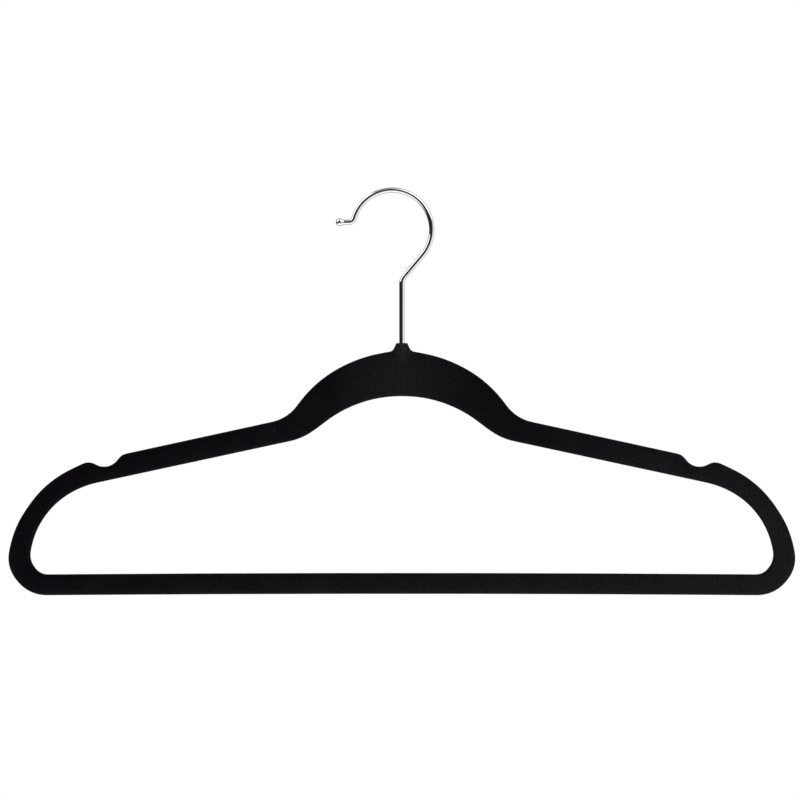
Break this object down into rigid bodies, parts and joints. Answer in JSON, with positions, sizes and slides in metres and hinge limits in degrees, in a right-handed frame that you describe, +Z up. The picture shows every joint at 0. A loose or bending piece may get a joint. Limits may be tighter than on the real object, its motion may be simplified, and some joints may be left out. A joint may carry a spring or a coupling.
{
  "type": "clothes hanger",
  "caption": "Slim velvet clothes hanger with notched shoulders, an arched yoke, a trouser bar and a swivelling chrome wire hook.",
  "frame": {"origin": "the rail seat: the point inside the hook's crown, on the swivel axis, that rests on a rail", "axes": "+X to the hanger's right seen from the front, +Y to its back, +Z up along the swivel axis; the hook opens towards -X"},
  "size_m": [0.45, 0.007, 0.2333],
  "materials": {
    "core_plastic": "matte",
    "black_velvet": "matte",
    "chromed_wire": "polished",
    "chromed_ball": "polished"
  },
  "bodies": {
    "hook": {"hook_wire": "chromed_wire", "hook_ball_tip": "chromed_ball"},
    "hanger_body": {"plastic_core": "core_plastic", "velvet_coat": "black_velvet"}
  },
  "joints": [
    {"name": "hook_swivel", "type": "hinge", "parent": "hook", "child": "hanger_body", "pos_m": [0, 0, -0.0853], "axis": [0, 0, 1], "continuous": true}
  ]
}
